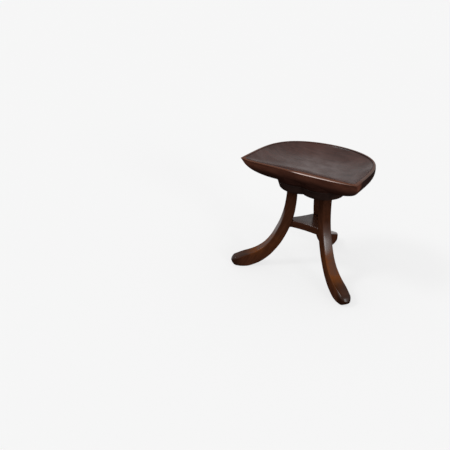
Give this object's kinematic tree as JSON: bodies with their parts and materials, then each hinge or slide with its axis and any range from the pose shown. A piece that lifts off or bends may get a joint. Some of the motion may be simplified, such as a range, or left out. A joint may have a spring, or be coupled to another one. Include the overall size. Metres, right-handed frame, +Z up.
{
  "type": "three-legged stool",
  "caption": "Low stool of dark polished hardwood: a dished horseshoe seat with a straight front on a three-lobed block, swept legs with upturned toes, tied by a hollow-sided stretcher.",
  "frame": {"origin": "On the floor, under the middle of the stool's outer box.", "axes": "+Z up. The straight front of the seat faces -Y and the back leg points to +Y. +X is the right of a person who looks along +Y."},
  "size_m": [0.451, 0.3912, 0.402],
  "materials": {
    "seat": "dark red-brown hardwood, polished, worn along the rim",
    "leg_block": "dark red-brown hardwood, polished",
    "stretcher": "dark red-brown hardwood, polished",
    "leg_front_left": "dark red-brown hardwood, polished, worn at the toe",
    "leg_front_right": "dark red-brown hardwood, polished, worn at the toe",
    "leg_back": "dark red-brown hardwood, polished, worn at the toe",
    "tenon_wedge_front_left": "bare hardwood",
    "tenon_wedge_front_right": "bare hardwood",
    "tenon_wedge_back": "bare hardwood",
    "block_screw_front": "plain steel, dulled",
    "block_screw_back_right": "plain steel, dulled",
    "block_screw_back_left": "plain steel, dulled"
  },
  "bodies": {
    "root": {"seat": "seat", "leg_block": "leg_block", "stretcher": "stretcher", "leg_front_left": "leg_front_left", "leg_front_right": "leg_front_right", "leg_back": "leg_back", "tenon_wedge_front_left": "tenon_wedge_front_left", "tenon_wedge_front_right": "tenon_wedge_front_right", "tenon_wedge_back": "tenon_wedge_back", "block_screw_front": "block_screw_front", "block_screw_back_right": "block_screw_back_right", "block_screw_back_left": "block_screw_back_left"}
  },
  "joints": []
}
